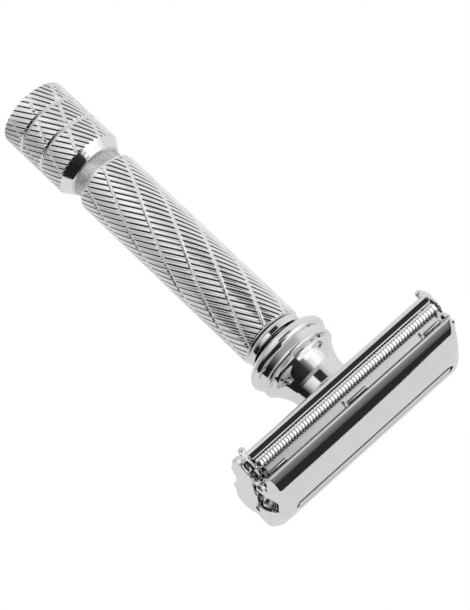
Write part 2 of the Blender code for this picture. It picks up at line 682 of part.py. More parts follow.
def door_point(u, v):
    """Outer surface point: u runs along X from -1 to 1, v from the seam (0) to the edge (1).

    Past the flat middle the surface curls down as a quarter ellipse, wide at the seam and
    tight at the cutting edge, where it stops higher to clear the end cap when it swings.
    """
    y = DOOR_SEAM_HALF + (DOOR_EDGE_Y - DOOR_SEAM_HALF) * v
    flat_half = eased(DOOR_CREST_FLAT, DOOR_EDGE_FLAT, y / DOOR_EDGE_Y)
    outward = (y - DOOR_SKIRT_RISE[0]) / (DOOR_SKIRT_RISE[1] - DOOR_SKIRT_RISE[0])
    reach = eased(DOOR_HALF_LENGTH, DOOR_EDGE_HALF, outward) - flat_half
    low = eased(DOOR_SKIRT_LOW, DOOR_SKIRT_HIGH, outward)
    if abs(u) <= DOOR_FLAT_SHARE:
        return Vector((u / DOOR_FLAT_SHARE * flat_half, y, door_top(y)))
    turn = (abs(u) - DOOR_FLAT_SHARE) / (1 - DOOR_FLAT_SHARE) * pi / 2
    x = flat_half + reach * sin(turn)
    z = low + (door_top(y) - low) * cos(turn)
    return Vector((x if u > 0 else -x, y, z))


def make_door(name, side, chrome):
    """Half of the cap: an arched sheet whose ends curl down to the hinge lugs.

    One end is closed and the other has an arched opening; the rear door is the front
    door turned half round about the handle.
    """
    columns, rows = DOOR_GRID
    mesh = bpy.data.meshes.new(name)
    bm = bmesh.new()
    bmesh.ops.create_grid(bm, x_segments=columns, y_segments=rows, size=1.0)
    for vertex in bm.verts:
        vertex.co = door_point(vertex.co.x, (vertex.co.y + 1) / 2) * MM
    bmesh.ops.recalc_face_normals(bm, faces=bm.faces)
    if sum(face.normal.z for face in bm.faces) < 0:
        bmesh.ops.reverse_faces(bm, faces=bm.faces)
    half_turn = Matrix.Rotation(pi if side < 0 else 0.0, 4, "Z")
    bmesh.ops.transform(bm, matrix=half_turn, verts=bm.verts)
    bm.to_mesh(mesh)
    bm.free()
    door = put_in(PARTS, bpy.data.objects.new(name, mesh), chrome)
    sheet = door.modifiers.new("Sheet", "SOLIDIFY")
    sheet.thickness = DOOR_SHEET * MM
    sheet.offset = -1.0
    sheet.use_even_offset = True

    cut(door, stadium(name + "_seam_slot", (0, 0), SEAM_SLOT, DOOR_CREST - 3, DOOR_CREST + 1))
    open_end, past = -side, -0.5
    arch = [(past, DOOR_OPENING_LOW), (ARCH_CENTRE[0] + ARCH_RADII[0], DOOR_OPENING_LOW)]
    arch += arc(ARCH_CENTRE, ARCH_RADII, 0, 90, 6) + [(past, ARCH_TOP)]
    x_low, x_high = sorted(open_end * x for x in DOOR_END_CUT)
    cut(door, across(name + "_arch", [(side * y, z) for y, z in arch], x_low, x_high, CUTTERS))
    slant = [(past, DOOR_OPENING_LOW), (SLANT_FOOT_Y, DOOR_OPENING_LOW), SLANT_TOP,
             (past, SLANT_TOP[1])]
    x_low, x_high = sorted(-open_end * x for x in DOOR_END_CUT)
    cut(door, across(name + "_slant", [(side * y, z) for y, z in slant], x_low, x_high, CUTTERS))
    for end in (-1, 1):
        join(door, rod(f"{name}_lug_{end}", (end * LUG_SPAN[0], side * HINGE_Y, HINGE_Z),
                       (end * LUG_SPAN[1], side * HINGE_Y, HINGE_Z), LUG_R, CUTTERS,
                       steps=BORE_STEPS))
        cut(door, rod(f"{name}_pin_hole_{end}", (end * (LUG_SPAN[0] - GAP), side * HINGE_Y, HINGE_Z),
                      (end * (LUG_SPAN[1] + 1), side * HINGE_Y, HINGE_Z),
                      HINGE_PIN_R + PIN_CLEARANCE, CUTTERS))
    hang_on(axis_empty(name + "_axis", (0, side * HINGE_Y, HINGE_Z)), [door])


# ---------------------------------------------------------------- assembly

def main():
    chrome = metal("polished_chrome", (0.83, 0.84, 0.85), 0.05)
    satin = metal("chromed_pressing", (0.72, 0.73, 0.74), 0.12)
    brass = metal("turned_brass", (0.78, 0.60, 0.30), 0.3)
    steel = metal("stainless_steel", (0.62, 0.62, 0.63), 0.25)
    make_knob(chrome, steel, brass)
    make_handle(chrome, brass, steel)
    make_guard(chrome)
    for word, side in (("front", -1), ("rear", 1)):
        make_safety_bar("safety_bar_" + word, side, chrome)
        make_blade_rail("blade_rail_" + word, side, satin)
        make_door("door_" + word, side, chrome)
    make_rail_rivets(steel)
    carriage = [make_lift_rod(brass), make_crossbar(satin)]
    for tag, end in (("left", -1), ("right", 1)):
        carriage += make_end(tag, end, chrome, steel)
    hang_on(axis_empty("carriage_axis", (0, 0, CROSSBAR_LOW)), carriage)


clear_scene()
PARTS = new_collection("safety_razor")
CUTTERS = new_collection("cutters")
main()
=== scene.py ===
"""Looks of the double-edge safety razor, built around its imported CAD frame.

The frame gives every piece its place.  Here the turned, knurled and pressed pieces get their
fine surfaces, every piece gets its metal, and a pale studio with dark cards gives the polished
chrome something to reflect.  Named sizes are in millimetres and MM turns them into metres.
"""
from math import asin, cos, floor, pi, radians, sin, sqrt, tan

import bmesh
import bpy
import numpy as np
from mathutils import Euler, Matrix, Vector


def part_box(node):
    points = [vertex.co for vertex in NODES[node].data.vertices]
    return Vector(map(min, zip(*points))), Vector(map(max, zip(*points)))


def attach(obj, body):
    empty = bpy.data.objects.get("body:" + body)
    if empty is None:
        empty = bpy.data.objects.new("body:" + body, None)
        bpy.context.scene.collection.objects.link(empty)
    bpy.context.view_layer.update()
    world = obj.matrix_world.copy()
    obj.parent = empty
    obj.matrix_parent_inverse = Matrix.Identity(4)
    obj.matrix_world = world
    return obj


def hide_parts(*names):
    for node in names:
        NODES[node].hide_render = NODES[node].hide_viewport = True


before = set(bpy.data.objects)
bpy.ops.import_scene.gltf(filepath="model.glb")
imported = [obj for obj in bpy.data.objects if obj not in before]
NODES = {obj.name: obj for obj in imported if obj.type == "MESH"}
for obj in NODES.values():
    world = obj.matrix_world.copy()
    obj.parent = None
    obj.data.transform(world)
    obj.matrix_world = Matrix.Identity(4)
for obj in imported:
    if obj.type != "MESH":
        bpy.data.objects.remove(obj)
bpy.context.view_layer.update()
MM = 0.001


def node_box(name):
    """Lowest and highest corner of a CAD node, in millimetres."""
    low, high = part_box(name)
    return low / MM, high / MM


# ---------------------------------------------------------------- mesh helpers

WELD = 0.0005            # points closer than this become one
TURNED_WELD = 0.0001     # and closer than this on turned pieces
BEVEL_ANGLE = 40         # soften() rounds the edges that are sharper than this
SLOT_STEPS = 10


def link_object(name, data):
    """A new object of the mesh or camera data, linked to the scene."""
    obj = bpy.data.objects.new(name, data)
    bpy.context.scene.collection.objects.link(obj)
    return obj


def link_bmesh(name, bm):
    """A new object of the bmesh, which is used up."""
    mesh = bpy.data.meshes.new(name)
    bm.to_mesh(mesh)
    bm.free()
    return link_object(name, mesh)


def mesh_piece(name, points, faces):
    """A mesh object from points in millimetres and faces as lists of point numbers."""
    mesh = bpy.data.meshes.new(name)
    mesh.from_pydata([tuple(c * MM for c in point) for point in points], [], faces)
    return link_object(name, mesh)


def tidy_mesh(obj, weld=WELD, dissolve=False):
    """Join coincident points, drop faces without area and turn every face outward."""
    bm = bmesh.new()
    bm.from_mesh(obj.data)
    if weld:
        bmesh.ops.remove_doubles(bm, verts=bm.verts, dist=weld * MM)
    if dissolve:
        bmesh.ops.dissolve_degenerate(bm, edges=bm.edges, dist=weld * MM)
    bmesh.ops.recalc_face_normals(bm, faces=bm.faces)
    bm.to_mesh(obj.data)
    bm.free()
    return obj


def apply_modifiers(obj):
    """Replace the object's mesh by its evaluated one."""
    graph = bpy.context.evaluated_depsgraph_get()
    made = bpy.data.meshes.new_from_object(obj.evaluated_get(graph))
    obj.modifiers.clear()
    obj.data = made
    return obj


def smooth(obj, angle=35, flat_faces=False):
    """Smooth shading that stays sharp where faces meet at more than the angle.

    With flat_faces the large faces keep their own direction beside small rounded edges.
    """
    obj.data.shade_smooth()
    obj.data.set_sharp_from_angle(angle=radians(angle))
    if flat_faces:
        step = obj.modifiers.new("Weighted", "WEIGHTED_NORMAL")
        step.mode = "FACE_AREA"
        step.weight = 100
        step.keep_sharp = True
        apply_modifiers(obj)
    return obj


def carve(obj, tools, operation="DIFFERENCE"):
    """Cut the tools out of the object, or join them to it, and remove them."""
    for tool in tools:
        step = obj.modifiers.new(tool.name, "BOOLEAN")
        step.operation = operation
        step.solver = "EXACT"
        step.object = tool
    apply_modifiers(obj)
    for tool in tools:
        bpy.data.objects.remove(tool, do_unlink=True)


def soften(obj, width, segments):
    """Round the object's sharp edges."""
    edge = obj.modifiers.new("Edges", "BEVEL")
    edge.width = width * MM
    edge.segments = segments
    edge.limit_method = "ANGLE"
    edge.angle_limit = radians(BEVEL_ANGLE)
    edge.harden_normals = False
    return apply_modifiers(obj)


def arc(centre, radius, start, end, count):
    """Points on an arc about centre, angles in degrees, first to last."""
    rx, rz = radius if isinstance(radius, tuple) else (radius, radius)
    turns = [radians(start + (end - start) * i / count) for i in range(count + 1)]
    return [(centre[0] + rx * cos(t), centre[1] + rz * sin(t)) for t in turns]


def flowing(points, steps):
    """A Catmull-Rom curve through the points, with that many steps between each two."""
    padded = [points[0]] + points + [points[-1]]
    made = []
    for a, b, c, d in zip(padded, padded[1:], padded[2:], padded[3:]):
        for i in range(steps):
            t = i / steps
            made.append(tuple(
                0.5 * (2 * q + (r - p) * t + (2 * p - 5 * q + 4 * r - s) * t ** 2
                       + (3 * q - p - 3 * r + s) * t ** 3)
                for p, q, r, s in zip(a, b, c, d)))
    return made + [points[-1]]


def lathe(name, profile, segments=160):
    """Turn a closed (r, z) profile about Z."""
    turns = [2 * pi * i / segments for i in range(segments)]
    points = [(r * cos(t), r * sin(t), z) for r, z in profile for t in turns]
    faces = []
    for j in range(len(profile)):
        here, there = j * segments, (j + 1) % len(profile) * segments
        for i in range(segments):
            side = (i + 1) % segments
            faces.append((here + i, there + i, there + side, here + side))
    return tidy_mesh(mesh_piece(name, points, faces), TURNED_WELD, dissolve=True)


def prism(name, base, top):
    """A closed prism between two outlines with the same number of points."""
    count = len(base)
    faces = [list(range(count)), list(range(count, 2 * count))]
    faces += [[i, (i + 1) % count, count + (i + 1) % count, count + i] for i in range(count)]
    return tidy_mesh(mesh_piece(name, base + top, faces))


def extruded(name, outline, x_low, x_high):
    """Extrude a closed (y, z) outline along X."""
    return prism(name, [(x_low, y, z) for y, z in outline], [(x_high, y, z) for y, z in outline])


def slot_tool(name, centre, size, z_low, z_high):
    """A cutter with half-round ends, long along X, that cuts down through Z."""
    half = (size[0] - size[1]) / 2
    x, y = centre
    outline = arc((x + half, y), size[1] / 2, -90, 90, SLOT_STEPS)
    outline += arc((x - half, y), size[1] / 2, 90, 270, SLOT_STEPS)
    return prism(name, [(px, py, z_low) for px, py in outline],
                 [(px, py, z_high) for px, py in outline])


def rod(name, start, end, radius, segments=32):
    """A straight cylinder between two points, in millimetres."""
    a, b = Vector(start) * MM, Vector(end) * MM
    bm = bmesh.new()
    bmesh.ops.create_cone(bm, cap_ends=True, segments=segments, radius1=radius * MM,
                          radius2=radius * MM, depth=(b - a).length)
    turn = (b - a).to_track_quat("Z", "Y").to_matrix().to_4x4()
    bmesh.ops.transform(bm, matrix=Matrix.Translation((a + b) / 2) @ turn, verts=bm.verts)
    return link_bmesh(name, bm)


def box(name, corner, opposite):
    """A box between two corners, in millimetres."""
    a = Vector([min(pair) for pair in zip(corner, opposite)]) * MM
    b = Vector([max(pair) for pair in zip(corner, opposite)]) * MM
    bm = bmesh.new()
    bmesh.ops.create_cube(bm, size=1.0)
    bmesh.ops.scale(bm, vec=b - a, verts=bm.verts)
    bmesh.ops.translate(bm, vec=(a + b) / 2, verts=bm.verts)
    return link_bmesh(name, bm)


def ball(name, centre, radius):
    """A sphere, in millimetres."""
    bm = bmesh.new()
    bmesh.ops.create_uvsphere(bm, u_segments=32, v_segments=16, radius=radius * MM)
    bmesh.ops.translate(bm, vec=Vector(centre) * MM, verts=bm.verts)
    return link_bmesh(name, bm)


def mirrored(half):
    """Close an outline from its half at +Y."""
    return half + [(-y, z) for y, z in reversed(half) if y > 0]


def place(obj, body, node, look):
    """Dress a new piece, let it ride on its body and stand for its CAD node."""
    obj.data.materials.clear()
    obj.data.materials.append(look)
    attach(obj, body)
    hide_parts(node)


# ---------------------------------------------------------------- materials

def new_metal(name):
    """A metal's material, its nodes, its links and its shader node."""
    look = bpy.data.materials.new(name)
    look.use_nodes = True
    nodes = look.node_tree.nodes
    shader = nodes["Principled BSDF"]
    shader.inputs["Metallic"].default_value = 1.0
    return look, nodes, look.node_tree.links, shader


def noise(nodes, links, scale, detail, source=None):
    """A noise texture in the object's own coordinates."""
    texture = nodes.new("ShaderNodeTexNoise")
    texture.inputs["Scale"].default_value = scale
    texture.inputs["Detail"].default_value = detail
    if source is None:
        place_node = nodes.new("ShaderNodeTexCoord")
        source = place_node.outputs["Object"]
    links.new(source, texture.inputs["Vector"])
    return texture.outputs["Fac"]


def span(nodes, links, value, low, high, from_low=0.0, from_high=1.0):
    """Map a value onto a new range."""
    step = nodes.new("ShaderNodeMapRange")
    step.inputs["From Min"].default_value = from_low
    step.inputs["From Max"].default_value = from_high
    step.inputs["To Min"].default_value = low
    step.inputs["To Max"].default_value = high
    links.new(value, step.inputs["Value"])
    return step.outputs["Result"]


def tint(nodes, links, fac, low, high):
    """A colour between two, by a factor."""
    ramp = nodes.new("ShaderNodeValToRGB")
    ramp.color_ramp.elements[0].color = (*low, 1.0)
    ramp.color_ramp.elements[1].color = (*high, 1.0)
    links.new(fac, ramp.inputs["Fac"])
    return ramp.outputs["Color"]


def bump(nodes, links, height, strength, distance, shader):
    """Let a height disturb the shader's normal; the distance is in metres."""
    step = nodes.new("ShaderNodeBump")
    step.inputs["Strength"].default_value = strength
    step.inputs["Distance"].default_value = distance
    links.new(height, step.inputs["Height"])
    links.new(step.outputs["Normal"], shader.inputs["Normal"])


def chrome_look(name, low, high, rough, ripple):
    """Bright plating: a faint cloudiness in colour and roughness and a very slight ripple."""
    look, nodes, links, shader = new_metal(name)
    cloud = noise(nodes, links, 350.0, 4.0)
    links.new(tint(nodes, links, cloud, low, high), shader.inputs["Base Color"])
    links.new(span(nodes, links, cloud, *rough), shader.inputs["Roughness"])
    bump(nodes, links, noise(nodes, links, 900.0, 2.0), ripple, 0.00002, shader)
    return look


def knurled_look(name):
    """Bright plating with painted shade down in the grooves: the marked groove floors are coloured
    near black.
    """
    look, nodes, links, shader = new_metal(name)
    depth = nodes.new("ShaderNodeAttribute")
    depth.attribute_name = "groove"
    cloud = noise(nodes, links, 500.0, 4.0)
    plating = tint(nodes, links, cloud, (0.82, 0.83, 0.85), (0.93, 0.94, 0.95))
    # Painted shade: where the groove mask is high the base colour turns near black
    painted_shade = span(nodes, links, depth.outputs["Fac"], 0.0, 1.0, 0.30, 0.75)
    mix = nodes.new("ShaderNodeMix")
    mix.data_type = "RGBA"
    mix.inputs["B"].default_value = (0.02, 0.02, 0.022, 1.0)
    links.new(painted_shade, mix.inputs["Factor"])
    links.new(plating, mix.inputs["A"])
    links.new(mix.outputs["Result"], shader.inputs["Base Color"])
    links.new(span(nodes, links, painted_shade, 0.09, 0.45), shader.inputs["Roughness"])
    bump(nodes, links, noise(nodes, links, 1500.0, 3.0), 0.35, 0.00004, shader)
    return look


def brushed_look(name, low, high, rough, scale):
    """Turned or drawn metal: fine streaks in colour and roughness."""
    look, nodes, links, shader = new_metal(name)
    where = nodes.new("ShaderNodeTexCoord")
    stretch = nodes.new("ShaderNodeMapping")
    stretch.inputs["Scale"].default_value = scale
    links.new(where.outputs["Object"], stretch.inputs["Vector"])
    streak = noise(nodes, links, 400.0, 6.0, stretch.outputs["Vector"])
    links.new(tint(nodes, links, streak, low, high), shader.inputs["Base Color"])
    links.new(span(nodes, links, streak, *rough), shader.inputs["Roughness"])
    bump(nodes, links, streak, 0.2, 0.00003, shader)
    return look


CHROME = chrome_look("polished_chrome", (0.78, 0.79, 0.80), (0.82, 0.83, 0.84),
                     rough=(0.035, 0.07), ripple=0.12)
PRESSED = chrome_look("chromed_pressing", (0.62, 0.63, 0.64), (0.72, 0.73, 0.74),
                      rough=(0.07, 0.18), ripple=0.4)
KNURLED = knurled_look("knurled_chrome")
BRASS = brushed_look("turned_brass", (0.62, 0.42, 0.16), (0.84, 0.64, 0.32),
                     rough=(0.18, 0.36), scale=(1, 1, 9))
STEEL = brushed_look("brushed_steel", (0.46, 0.46, 0.47), (0.66, 0.66, 0.67),
                     rough=(0.16, 0.32), scale=(7, 1, 1))


# ---------------------------------------------------------------- knurled pieces

FINE_ANGLE = radians(29.0)       # fine grooves lean this way round the handle
FINE_PITCH = 0.95                # across the grooves
FINE_HALF = 0.14                 # half of a fine groove's width
FINE_FLANK = 1.3                 # its flanks end at this many half widths
FINE_DEPTH = 0.20
COARSE_ANGLE = radians(25.6)     # the coarse lines lean the other way
COARSE_STARTS = 8
COARSE_HALF = 0.20               # half of a coarse line's width
COARSE_EDGE = 0.12               # width of its sloping edge
COARSE_DEPTH = 0.14
COARSE_CLEAR = 0.2               # fine grooves stop this far from a coarse line
COARSE_FADE = 0.16               # and run out over this length
LAND_CROWN = 0.05                # the lands fall by this much towards the fine grooves
SHADE_BELOW = 0.02                # painted shade lies where the surface is this far under the wall
BARREL_BORE = 4.6
# Where the columns of the mesh lie across one fine pitch, from groove to groove
COLUMN_PLACES = (0.0, 0.06, 0.11, 0.155, 0.20, 0.32, 0.44, 0.56, 0.68, 0.80, 0.845, 0.89, 0.94)


def smooth_step(value):
    """0 below 0, 1 above 1, and a smooth rise between."""
    value = np.clip(value, 0.0, 1.0)
    return value * value * (3 - 2 * value)


def knurled(name, radius, rows, wall, bore):
    """A knurled tube whose mesh columns follow the fine grooves.

    rows are the heights of the outer surface's rings, wall(z) is the smooth radius there,
    and bore is the (r, z) path that closes the tube from its top round to its bottom.
    """
    starts = round(2 * pi * radius * cos(FINE_ANGLE) / FINE_PITCH)
    fine_round = 2 * pi * radius / starts
    coarse_round = 2 * pi * radius / COARSE_STARTS
    places = np.array([(k + p) / starts for k in range(starts) for p in COLUMN_PLACES])
    heights = np.array(rows)[:, None]
    around = places[None, :] * 2 * pi * radius
    theta = (around - heights * tan(FINE_ANGLE)) / radius
    fine = (np.mod(places * starts + 0.5, 1.0) - 0.5)[None, :] * fine_round * cos(FINE_ANGLE)
    turns = theta * radius - heights * tan(COARSE_ANGLE)
    coarse = (np.mod(turns / coarse_round + 0.5, 1.0) - 0.5) * coarse_round * cos(COARSE_ANGLE)
    coarse_share = smooth_step((COARSE_HALF + COARSE_EDGE / 2 - np.abs(coarse)) / COARSE_EDGE)
    fine_share = smooth_step(FINE_FLANK - np.abs(fine) / FINE_HALF) * (1 - smooth_step(
        (COARSE_HALF + COARSE_CLEAR - np.abs(coarse)) / COARSE_FADE))
    crown = LAND_CROWN * (2 * fine / FINE_PITCH) ** 2 * (1 - coarse_share)
    depth = np.maximum(COARSE_DEPTH * coarse_share, FINE_DEPTH * fine_share) + crown
    skin = np.array([wall(z) for z in rows])[:, None]
    reach = np.minimum(skin, radius - depth)
    # Painted shade mask: fine groove floors sunk under the wall are marked to be coloured dark
    groove_shade_mask = np.clip(fine_share * (reach < skin - SHADE_BELOW), 0, 1)
    count = len(places)
    points = np.stack([reach * np.cos(theta), reach * np.sin(theta),
                       np.broadcast_to(heights, theta.shape)], axis=2).reshape(-1, 3)
    turn = theta[-1]
    inner = [np.stack([r * np.cos(turn), r * np.sin(turn), np.full(count, z)], axis=1)
             for r, z in bore]
    points = np.concatenate([points] + inner)
    total = len(rows) + len(bore)
    # The grooves wind round the tube, so the bottom ring is joined to the bore some columns on
    wound = (rows[-1] - rows[0]) * tan(FINE_ANGLE) / (2 * pi * radius)
    shift = round(wound * starts) * len(COLUMN_PLACES)
    faces = []
    for j in range(total):
        here, there = j * count, (j + 1) % total * count
        back = shift if j == total - 1 else 0
        faces += [(here + i, here + (i + 1) % count, there + (i + 1 - back) % count,
                   there + (i - back) % count) for i in range(count)]
    obj = mesh_piece(name, points.tolist(), faces)
    # The painted shade mask is stored on the points as the groove attribute
    groove = obj.data.attributes.new("groove", "FLOAT", "POINT")
    values = np.zeros(len(points), np.float32)
    values[:groove_shade_mask.size] = groove_shade_mask.ravel()
    groove.data.foreach_set("value", values)
    return smooth(tidy_mesh(obj, weld=None), 50)


def stepped(start, end, step):
    """Even places from start up to, but without, end."""
    count = max(1, round(abs(end - start) / step))
    return [start + (end - start) * i / count for i in range(count)]


def through(points):
    """The function that runs straight between (z, r) points."""
    zs, rs = zip(*points)
    return lambda z: float(np.interp(z, zs, rs))


def make_barrel():
    """Knurled tube with a long bevel at its foot and a short one at its top."""
    low, high = node_box("handle_barrel")
    radius, bottom, top = high.x, low.z, high.z
    inset, foot_bevel, top_bevel = 0.3, 0.8, 0.3
    wall = through([(bottom, radius - inset), (bottom + foot_bevel, radius),
                    (top - top_bevel, radius), (top, radius - inset)])
    foot_end, top_start, close, wide = bottom + 1.2, top - 0.5, 0.08, 0.17
    rows = stepped(bottom, foot_end, close) + stepped(foot_end, top_start, wide)
    rows += stepped(top_start, top, close) + [top]
    bore = [(BARREL_BORE, top), (BARREL_BORE, bottom)]
    barrel = knurled("knurled_barrel", radius, rows, wall, bore)
    place(barrel, "handle", "handle_barrel", KNURLED)


def make_knob():
    """Knurled knob with two turned grooves, a plain cone and a neck."""
    high = node_box("knob_grip")[1]
    radius, top = high.x, high.z
    texture_top, cone_top, cone_r, neck_r = 15.3, 17.3, 5.6, 5.2
    foot_round, groove_half, groove_floor, groove_depth = 0.8, 0.45, 0.1, 0.42
    base = [(z, r) for r, z in arc((radius - foot_round, foot_round), foot_round, -90, 0, 8)]
    # One list under two names: rows therefore starts with a coarse pass over the whole knob,
    # which leaves a second, coarse skin that darkens the neck in renders
    shape = base
    for middle in (4.9, 10.2):
        shape += [(middle - groove_half, radius), (middle - groove_floor, radius - groove_depth),
                  (middle + groove_floor, radius - groove_depth), (middle + groove_half, radius)]
    shape += [(texture_top, radius), (cone_top, cone_r), (cone_top + 0.2, neck_r), (top, neck_r)]
    rows = [z for z, r in base] + stepped(0.9, texture_top - 0.3, 0.1)
    rows += stepped(texture_top - 0.3, texture_top + 0.9, 0.05)
    rows += stepped(texture_top + 0.9, cone_top, 0.2)
    rows += [cone_top, cone_top + 0.1, cone_top + 0.2, top]
    bore = [(3.5, top), (3.5, 4.6), (1.5, 4.6), (1.5, 2.6), (4.9, 2.6), (4.9, 0.0)]
    knob = knurled("knurled_knob", radius, rows, through(shape), bore)
    place(knob, "knob", "knob_grip", KNURLED)


# ---------------------------------------------------------------- turned pieces

def make_turned():
    """The plain neck ring and the beaded, trumpet-shaped collar above it."""
    low, high = node_box("neck_ring")
    outer, edge = high.x, 0.12
    profile = [(BARREL_BORE, high.z)] + arc((outer - edge, high.z - edge), edge, 90, 0, 4)
    profile += arc((outer - edge, low.z + edge), edge, 0, -90, 4) + [(BARREL_BORE, low.z)]
    place(smooth(lathe("turned_neck_ring", profile)), "handle", "neck_ring",
          CHROME)

    low, high = node_box("neck_collar")
    foot, top, tenon_top = 65.4, node_box("guard_plate")[0].z + 1.1, high.z
    trumpet = [(5.5, top), (5.38, 78.2), (5.3, 77.2), (5.28, 76.1), (5.37, 75.1), (5.6, 74.1),
               (5.93, 73.1), (6.35, 72.2), (6.8, 71.5), (6.9, 71.0)]
    tenon_r, spigot_r, bore_r = 3.4, 4.3, 2.6
    profile = [(tenon_r, tenon_top), (tenon_r, top)] + flowing(trumpet, 6)
    profile += arc((7.15, 70.2), 0.6, 75, -45, 14) + arc((7.0, 67.6), 1.35, 55, -75, 24)
    profile += [(6.1, foot + 0.2), (5.6, foot), (spigot_r, foot), (spigot_r, low.z),
                (bore_r, low.z), (bore_r, tenon_top)]
    place(smooth(lathe("turned_neck_collar", profile)), "handle", "neck_collar",
          CHROME)


# ---------------------------------------------------------------- safety bars

BAR_RADIUS = 0.92
BAR_MIDDLE = (11.5, 82.88)
RIB_PITCH = 0.63
RIB_CUT = (0.05, 0.34)     # the cuts' depth on the outer side and on the door's side
RIB_GAP = (0.045, 0.24)    # half of the cuts' width on the outer side and on the door's side
RIB_FACE = radians(24)     # the ribs' flattened outer face looks up by this much
RIB_FACE_IN = 0.77         # and lies this far from the bar's middle
RIB_END = 0.9              # plain length at each end
RIB_SHADE = (0.12, 0.6)     # painted shade in the cuts on the outer side, and how much more inside
INWARD = radians(20)       # the cuts are deepest this far off the level
BAR_COLUMNS = 40
# The bar's rounded end: (distance from the end, share of the radius)
BAR_END = ((0, 0.6), (0.12, 0.86), (0.35, 1))


def make_safety_bar(word, side):
    """A rod ribbed all along like a fine file, its cuts deepest on the side of the door."""
    node = "safety_bar_" + word
    half, radius = node_box(node)[1].x, BAR_RADIUS
    ribs = floor(2 * (half - RIB_END) / RIB_PITCH)
    start = -ribs * RIB_PITCH / 2
    # Rings: (x, share of the radius, share of the cut's depth, share of the cut's half width)
    rows = [(-half + x, share, 0, 0) for x, share in BAR_END]
    for i in range(ribs + 1):
        x = start + i * RIB_PITCH
        rows += [(x - 0.07, 1, 0, -1), (x - 0.03, 1, 0.12, -1), (x, 1, 1, -0.8), (x, 1, 1, 0.8),
                 (x + 0.03, 1, 0.12, 1), (x + 0.07, 1, 0, 1)]
    rows += [(half - x, share, 0, 0) for x, share in reversed(BAR_END)]
    count = BAR_COLUMNS
    points, painted_shade = [], []
    for x, share, cut, spread in rows:
        for k in range(count):
            turn = 2 * pi * k / count
            inward = (1 - sin(turn - INWARD)) / 2
            facing = sin(turn + RIB_FACE)
            skin = min(radius, RIB_FACE_IN / max(facing, 0.1))
            depth = cut * (RIB_CUT[0] + (RIB_CUT[1] - RIB_CUT[0]) * inward)
            gap = spread * (RIB_GAP[0] + (RIB_GAP[1] - RIB_GAP[0]) * inward)
            r = skin * share - depth
            points.append((x + gap, side * (BAR_MIDDLE[0] + r * sin(turn)),
                           BAR_MIDDLE[1] + r * cos(turn)))
            # Painted shade: the cut floors are marked to be coloured dark, most on the side of the
            # door
            painted_shade.append(RIB_SHADE[0] + RIB_SHADE[1] * inward if cut == 1 else 0.0)
    faces = [tuple(range(count)), tuple(range((len(rows) - 1) * count, len(rows) * count))]
    for j in range(len(rows) - 1):
        for k in range(count):
            near, far = j * count + k, j * count + (k + 1) % count
            faces.append((near, far, far + count, near + count))
    bar = mesh_piece("ribbed_bar_" + word, points, faces)
    groove = bar.data.attributes.new("groove", "FLOAT", "POINT")
    groove.data.foreach_set("value", painted_shade)
    place(smooth(tidy_mesh(bar), 40), "handle", node, KNURLED)


# ---------------------------------------------------------------- guard trough

TRAY_BOTTOM = 79.4
TRAY_FLOOR = 80.3
TRAY_FLAT_HALF = 9.6
LIP_Y = 12.0
LIP_LOW = 80.8
LIP_TOP = 81.85
LIP_ROUND = 0.25
TRAY_HALF = 20.8
EAR_ROUND = (11.5, 82.95)        # the end walls curl round the safety bar's end here
END_WALL = (21.1, 21.5)
RAIL_RIVET = (17.6, 5.05)        # x and y of the rivets that hold the rails
RAIL_RIVET_HOLE = 0.9


def trough_outline():
    """Section of the trough: outer curve, lips and inner curve."""
    flank = (TRAY_FLAT_HALF, LIP_LOW)
    outline = arc(flank, (LIP_Y - TRAY_FLAT_HALF, LIP_LOW - TRAY_BOTTOM), -90, 0, 24)
    outline += arc((LIP_Y - LIP_ROUND, LIP_TOP - LIP_ROUND), LIP_ROUND, 0, 90, 10)
    outline += [(LIP_Y - 1.2, LIP_TOP), (LIP_Y - 1.2, LIP_TOP - 0.4)]
    outline += arc(flank, (LIP_Y - 0.9 - TRAY_FLAT_HALF, LIP_LOW - TRAY_FLOOR), 0, -90, 24)
    return mirrored(outline)


def make_trough():
    """The curved guard trough with its drain slots, rivet holes, end walls and ears."""
    below, above = TRAY_BOTTOM - 1, TRAY_FLOOR + 1
    rivet_x, rivet_y = RAIL_RIVET
    trough = extruded("guard_trough", trough_outline(), -TRAY_HALF, TRAY_HALF)
    cuts = [rod("collar_hole", (0, 0, below), (0, 0, above), 3.7, 96)]
    for end in (-1, 1):
        for side in (-1, 1):
            cuts.append(slot_tool(f"drain_{end}_{side}", (end * 12.5, side * 2.4), (10.0, 2.2),
                                  below, above))
            cuts.append(rod(f"rivet_hole_{end}_{side}", (end * rivet_x, side * rivet_y, below),
                            (end * rivet_x, side * rivet_y, above), RAIL_RIVET_HOLE))
    carve(trough, cuts)
    soften(trough, 0.12, 2)
    ears = []
    for end in (-1, 1):
        for side in (-1, 1):
            web = [(9.85, 79.6), (10.2, 78.7), (11.1, 78.7), (11.7, 80.6), (11.7, 81.45),
                   (10.9, 81.7), (9.85, 81.6)]
            wall = [(9.9, 80.4), (11.6, 80.4), (11.9, 81.0)]
            wall += arc(EAR_ROUND, 0.45, -10, 60, 10)
            wall += [(10.6, 84.15), (10.1, 84.15), (9.9, 83.6)]
            for word, outline, near, far in (
                    ("web", web, TRAY_HALF - 0.5, END_WALL[1] - 0.1), ("wall", wall, *END_WALL)):
                x_low, x_high = sorted((end * near, end * far))
                piece = extruded(f"{word}_{end}_{side}", [(side * y, z) for y, z in outline],
                                 x_low, x_high)
                ears.append(soften(piece, 0.1, 2))
            ears.append(ball(f"ear_{end}_{side}", (end * 20.75, side * 10.7, 79.0), 0.7))
    carve(trough, ears, "UNION")
    place(smooth(trough, flat_faces=True), "handle", "guard_plate", CHROME)


# ---------------------------------------------------------------- blade rails and carriage

REST_Y = 9.55
REST_R = 0.45


